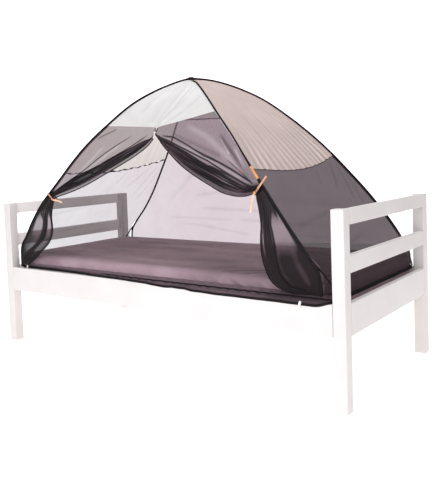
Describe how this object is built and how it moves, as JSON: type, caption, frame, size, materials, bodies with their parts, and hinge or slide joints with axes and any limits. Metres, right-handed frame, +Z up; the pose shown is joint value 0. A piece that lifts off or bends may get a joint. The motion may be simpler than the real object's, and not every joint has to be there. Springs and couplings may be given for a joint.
{
  "type": "pop-up mosquito net tent on single bed",
  "caption": "Domed pop-up insect net with two crossed sprung hoops, closed roof panels and a front door tied back to its legs, on the mattress of a post-and-rail single bed.",
  "frame": {"origin": "on the floor under the middle of the bed", "axes": "+X along the bed from the head to the foot, +Y from the doorway side to the back, +Z up"},
  "size_m": [2.12, 0.99, 1.4601],
  "materials": {
    "white_paint": "painted satin",
    "pale_timber": "bare",
    "mattress_ticking": "woven",
    "floor_cloth": "woven, slight sheen",
    "black_trim": "woven tape",
    "black_net": "fine open net",
    "white_cloth": "woven",
    "beige_cloth": "woven",
    "orange_ribbon": "woven ribbon",
    "zip_white": "moulded"
  },
  "bodies": {
    "root": {"apex_patch": "black_trim", "door_left": "black_net", "door_right": "black_net", "floor_cloth": "floor_cloth", "floor_hem_tape": "black_trim", "foot_end_rail": "white_paint", "foot_mid_rail": "white_paint", "foot_top_rail": "white_paint", "head_end_rail": "white_paint", "head_mid_rail": "white_paint", "head_top_rail": "white_paint", "hoop_a": "black_trim", "hoop_b": "black_trim", "ledger_back": "pale_timber", "ledger_front": "pale_timber", "mattress": "mattress_ticking", "net_back": "black_net", "net_foot": "black_net", "net_head": "black_net", "post_foot_back": "white_paint", "post_foot_front": "white_paint", "post_head_back": "white_paint", "post_head_front": "white_paint", "side_rail_back": "white_paint", "side_rail_front": "white_paint", "slat_01": "pale_timber", "slat_02": "pale_timber", "slat_03": "pale_timber", "slat_04": "pale_timber", "slat_05": "pale_timber", "slat_06": "pale_timber", "slat_07": "pale_timber", "slat_08": "pale_timber", "slat_09": "pale_timber", "slat_10": "pale_timber", "tie_left_end": "orange_ribbon", "tie_left_knot": "orange_ribbon", "tie_left_loop": "orange_ribbon", "tie_right_end": "orange_ribbon", "tie_right_knot": "orange_ribbon", "tie_right_loop": "orange_ribbon", "tie_right_strap": "orange_ribbon", "top_back": "white_cloth", "top_foot": "beige_cloth", "top_front": "white_cloth", "top_head": "beige_cloth", "zip_pull_left": "zip_white", "zip_pull_right": "zip_white", "zip_pull_top": "zip_white"}
  },
  "joints": []
}
